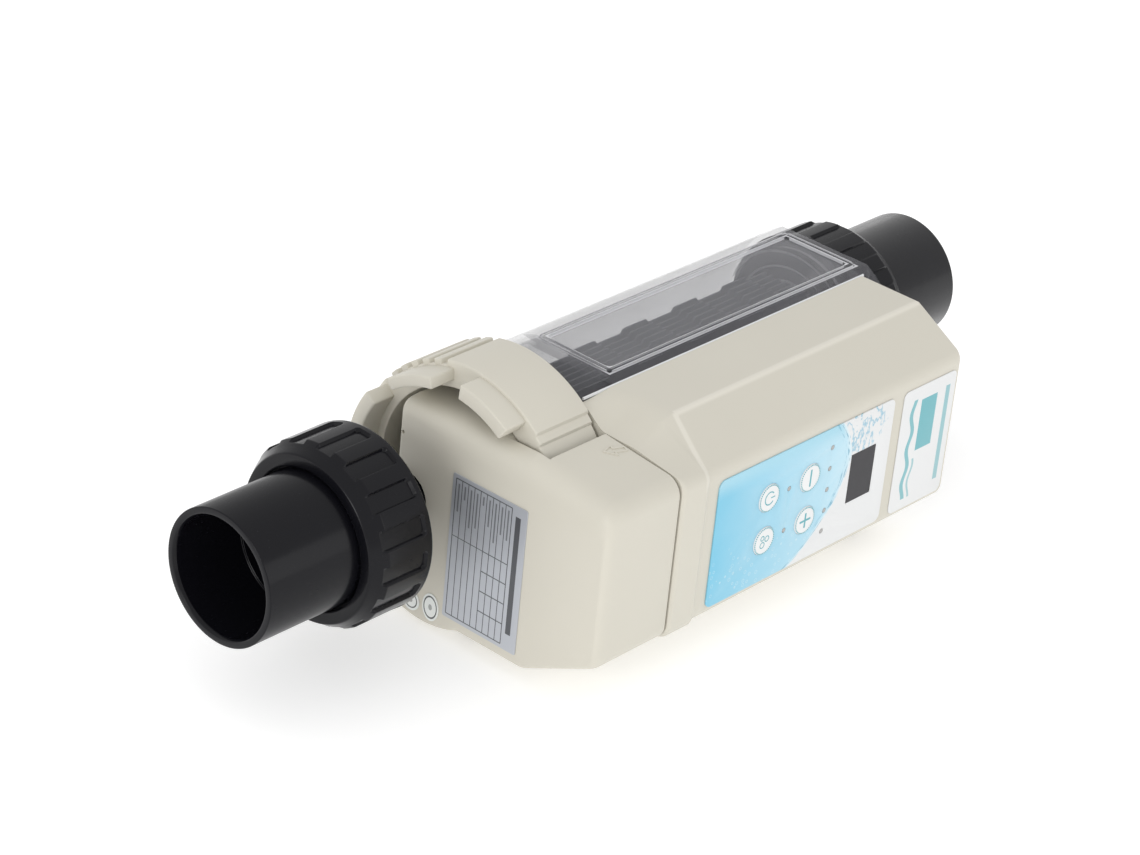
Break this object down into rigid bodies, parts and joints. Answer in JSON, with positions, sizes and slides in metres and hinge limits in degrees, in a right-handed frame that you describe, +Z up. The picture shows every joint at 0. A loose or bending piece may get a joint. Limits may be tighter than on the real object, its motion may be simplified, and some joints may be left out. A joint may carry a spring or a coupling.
{
  "type": "salt chlorine generator",
  "caption": "Inline pool salt chlorinator: control box beside a clear electrolytic cell, locking ring, end cover and a union nut with a plain pipe stub at each end.",
  "frame": {"origin": "on the resting plane, under the middle of the object's box along X and Y", "axes": "+X along the pipe from inlet to outlet, -Y is the side of the control panel, +Z up; the pipe's axis is at y = 0.02965 m, z = 0.065 m"},
  "size_m": [0.448, 0.1512, 0.124],
  "materials": {
    "beige_plastic": "satin",
    "black_pvc": "glossy",
    "clear_plastic": "clear",
    "seal_rubber": "matte",
    "coated_titanium": "oxide coated",
    "titanium": "brushed",
    "brass": "polished",
    "overlay_film": "printed film",
    "button_white": "printed",
    "light_guide": "clear",
    "smoked_acrylic": "polished",
    "label_white": "printed film",
    "label_silver": "printed film",
    "board_green": "coated laminate",
    "black_component": "moulded",
    "ferrite": "matte",
    "relay_blue": "moulded",
    "terminal_green": "moulded"
  },
  "bodies": {
    "body": {"inlet_tail_pipe": "black_pvc", "outlet_tail_pipe": "black_pvc", "clear_cell_body": "clear_plastic", "electrode_cap": "black_pvc", "electrode_cap_o_ring": "seal_rubber", "anode_plate_1": "coated_titanium", "cathode_plate_1": "titanium", "anode_plate_2": "coated_titanium", "cathode_plate_2": "titanium", "anode_plate_3": "coated_titanium", "cathode_plate_3": "titanium", "anode_plate_4": "coated_titanium", "electrode_head_block": "black_pvc", "electrode_foot_block": "black_pvc", "electrode_spacer_comb": "black_pvc", "anode_terminal": "brass", "cathode_terminal": "brass", "flow_sensor_pin": "titanium", "end_cover": "beige_plastic", "control_housing": "beige_plastic", "control_overlay": "overlay_film", "display_window": "smoked_acrylic", "display_module": "black_component", "power_switch": "black_component", "boost_switch": "black_component", "minus_switch": "black_component", "plus_switch": "black_component", "led_guide_1": "light_guide", "led_guide_2": "light_guide", "led_guide_3": "light_guide", "led_guide_4": "light_guide", "led_guide_5": "light_guide", "led_guide_6": "light_guide", "led_guide_7": "light_guide", "name_plate_blank": "label_white", "main_circuit_board": "board_green", "power_transformer": "ferrite", "polarity_relay": "relay_blue", "reservoir_capacitor": "black_component", "terminal_block": "terminal_green", "dc_inlet_socket": "black_component", "rating_plate": "label_silver", "inspection_sticker": "label_silver", "conformity_sticker": "label_silver"},
    "locking_ring": {"locking_ring": "beige_plastic"},
    "inlet_union_nut": {"inlet_union_nut": "black_pvc"},
    "outlet_union_nut": {"outlet_union_nut": "black_pvc"},
    "power_button": {"power_button": "button_white"},
    "boost_button": {"boost_button": "button_white"},
    "minus_button": {"minus_button": "button_white"},
    "plus_button": {"plus_button": "button_white"}
  },
  "joints": [
    {"name": "locking_ring_turn", "type": "hinge", "parent": "body", "child": "locking_ring", "pos_m": [-0.082, 0.01665, 0.065], "axis": [-1, 0, 0], "range_deg": [0, 25]},
    {"name": "inlet_union_nut_turn", "type": "hinge", "parent": "body", "child": "inlet_union_nut", "pos_m": [-0.16, 0.02965, 0.065], "axis": [-1, 0, 0], "range_deg": [0, 360]},
    {"name": "outlet_union_nut_turn", "type": "hinge", "parent": "body", "child": "outlet_union_nut", "pos_m": [0.16, 0.02965, 0.065], "axis": [1, 0, 0], "range_deg": [0, 360]},
    {"name": "power_button_press", "type": "slide", "parent": "body", "child": "power_button", "axis": [0, 1, 0], "range_m": [0, 0.0008], "stiffness_N_per_m": 1500},
    {"name": "boost_button_press", "type": "slide", "parent": "body", "child": "boost_button", "axis": [0, 1, 0], "range_m": [0, 0.0008], "stiffness_N_per_m": 1500},
    {"name": "minus_button_press", "type": "slide", "parent": "body", "child": "minus_button", "axis": [0, 1, 0], "range_m": [0, 0.0008], "stiffness_N_per_m": 1500},
    {"name": "plus_button_press", "type": "slide", "parent": "body", "child": "plus_button", "axis": [0, 1, 0], "range_m": [0, 0.0008], "stiffness_N_per_m": 1500}
  ]
}
